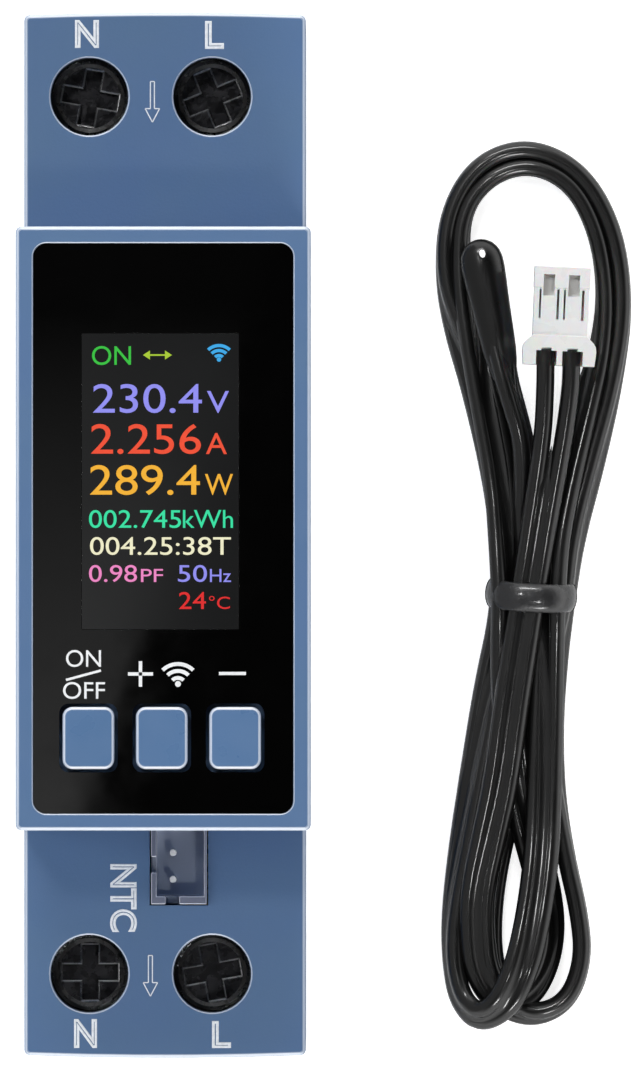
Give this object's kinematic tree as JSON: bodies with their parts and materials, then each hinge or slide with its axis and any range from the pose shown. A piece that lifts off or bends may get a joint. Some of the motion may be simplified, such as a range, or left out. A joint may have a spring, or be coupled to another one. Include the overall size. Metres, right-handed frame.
{
  "type": "ac power meter",
  "caption": "Slim rail-mount mains power meter with a colour display, keys, screw terminals, a rail clip and a tied plug-in temperature lead.",
  "frame": {"origin": "middle of the back face that the device lies on", "axes": "+X to the right and +Y to the upper terminals, seen from the front; +Z out of the display"},
  "size_m": [0.0469, 0.0788, 0.0626],
  "materials": {
    "case": "fine moulded grain, satin",
    "gloss_black": "polished, gloss",
    "display_glass": "flat, gloss",
    "white_frame": "moulded, satin",
    "black_plastic": "moulded, satin",
    "board": "glass laminate with solder mask",
    "steel": "bright",
    "screw_steel": "blackened",
    "tin_can": "tin plated",
    "relay_case": "moulded, gloss",
    "can_sleeve": "shrunk sleeve",
    "varistor_coat": "dipped epoxy",
    "brass": "pressed, tinned in places",
    "lead_jacket": "smooth, satin",
    "plug_nylon": "translucent nylon",
    "probe_moulding": "dipped, gloss",
    "bead_glass": "glass bead",
    "tie_rubber": "moulded rubber"
  },
  "bodies": {
    "case": {"rear_base": "case", "main_housing": "case", "front_cover": "case", "display_panel": "gloss_black", "display_glass": "display_glass", "display_frame": "white_frame", "switch_bodies": "black_plastic", "front_board": "board", "front_board_screws": "steel", "wireless_module": "tin_can", "board_link": "black_plastic", "main_board": "board", "power_relay": "relay_case", "current_transformer": "relay_case", "smoothing_capacitor": "can_sleeve", "surge_varistor": "varistor_coat", "top_terminal_block": "black_plastic", "bottom_terminal_block": "black_plastic", "neutral_bar": "brass", "line_in_bar": "brass", "line_out_bar": "brass", "ntc_socket": "black_plastic", "ntc_socket_pins": "brass", "clip_spring": "steel"},
    "key_on_off": {"key_on_off": "case", "plunger_on_off": "black_plastic"},
    "key_plus": {"key_plus": "case", "plunger_plus": "black_plastic"},
    "key_minus": {"key_minus": "case", "plunger_minus": "black_plastic"},
    "top_neutral_screw": {"top_neutral_screw": "screw_steel"},
    "top_neutral_cage": {"top_neutral_cage": "tin_can"},
    "top_line_screw": {"top_line_screw": "screw_steel"},
    "top_line_cage": {"top_line_cage": "tin_can"},
    "bottom_neutral_screw": {"bottom_neutral_screw": "screw_steel"},
    "bottom_neutral_cage": {"bottom_neutral_cage": "tin_can"},
    "bottom_line_screw": {"bottom_line_screw": "screw_steel"},
    "bottom_line_cage": {"bottom_line_cage": "tin_can"},
    "rail_clip": {"rail_clip": "black_plastic"},
    "temperature_lead": {"ntc_lead": "lead_jacket", "ntc_plug": "plug_nylon", "ntc_plug_contacts": "brass", "ntc_probe_head": "probe_moulding", "thermistor_bead": "bead_glass", "hank_tie": "tie_rubber"}
  },
  "joints": [
    {"name": "press_on_off", "type": "slide", "parent": "case", "child": "key_on_off", "axis": [0, 0, -1], "range_m": [0, 0.0004], "stiffness_N_per_m": 600, "springref_m": -0.0008},
    {"name": "press_plus", "type": "slide", "parent": "case", "child": "key_plus", "axis": [0, 0, -1], "range_m": [0, 0.0004], "stiffness_N_per_m": 600, "springref_m": -0.0008},
    {"name": "press_minus", "type": "slide", "parent": "case", "child": "key_minus", "axis": [0, 0, -1], "range_m": [0, 0.0004], "stiffness_N_per_m": 600, "springref_m": -0.0008},
    {"name": "top_neutral_turn", "type": "hinge", "parent": "case", "child": "top_neutral_screw", "pos_m": [-0.0057, 0.03305, 0.0385], "axis": [0, 0, -1], "range_deg": [0, 1440]},
    {"name": "top_neutral_rise", "type": "slide", "parent": "case", "child": "top_neutral_cage", "axis": [0, 0, 1], "range_m": [0, 0.0028]},
    {"name": "top_line_turn", "type": "hinge", "parent": "case", "child": "top_line_screw", "pos_m": [0.00355, 0.03305, 0.0385], "axis": [0, 0, -1], "range_deg": [0, 1440]},
    {"name": "top_line_rise", "type": "slide", "parent": "case", "child": "top_line_cage", "axis": [0, 0, 1], "range_m": [0, 0.0028]},
    {"name": "bottom_neutral_turn", "type": "hinge", "parent": "case", "child": "bottom_neutral_screw", "pos_m": [-0.0057, -0.03305, 0.0385], "axis": [0, 0, -1], "range_deg": [0, 1440]},
    {"name": "bottom_neutral_rise", "type": "slide", "parent": "case", "child": "bottom_neutral_cage", "axis": [0, 0, 1], "range_m": [0, 0.0028]},
    {"name": "bottom_line_turn", "type": "hinge", "parent": "case", "child": "bottom_line_screw", "pos_m": [0.00355, -0.03305, 0.0385], "axis": [0, 0, -1], "range_deg": [0, 1440]},
    {"name": "bottom_line_rise", "type": "slide", "parent": "case", "child": "bottom_line_cage", "axis": [0, 0, 1], "range_m": [0, 0.0028]},
    {"name": "clip_slide", "type": "slide", "parent": "case", "child": "rail_clip", "axis": [0, -1, 0], "range_m": [0, 0.003], "stiffness_N_per_m": 1500, "springref_m": -0.001, "deforming": ["clip_spring"]},
    {"name": "lead_lift", "type": "slide", "parent": "case", "child": "temperature_lead", "axis": [0, 0, 1], "range_m": [0, 0.03]}
  ],
  "couplings": [
    {"joint": "top_neutral_turn", "follows": "top_neutral_rise", "rad_per_m": 8975.9},
    {"joint": "top_line_turn", "follows": "top_line_rise", "rad_per_m": 8975.9},
    {"joint": "bottom_neutral_turn", "follows": "bottom_neutral_rise", "rad_per_m": 8975.9},
    {"joint": "bottom_line_turn", "follows": "bottom_line_rise", "rad_per_m": 8975.9}
  ]
}
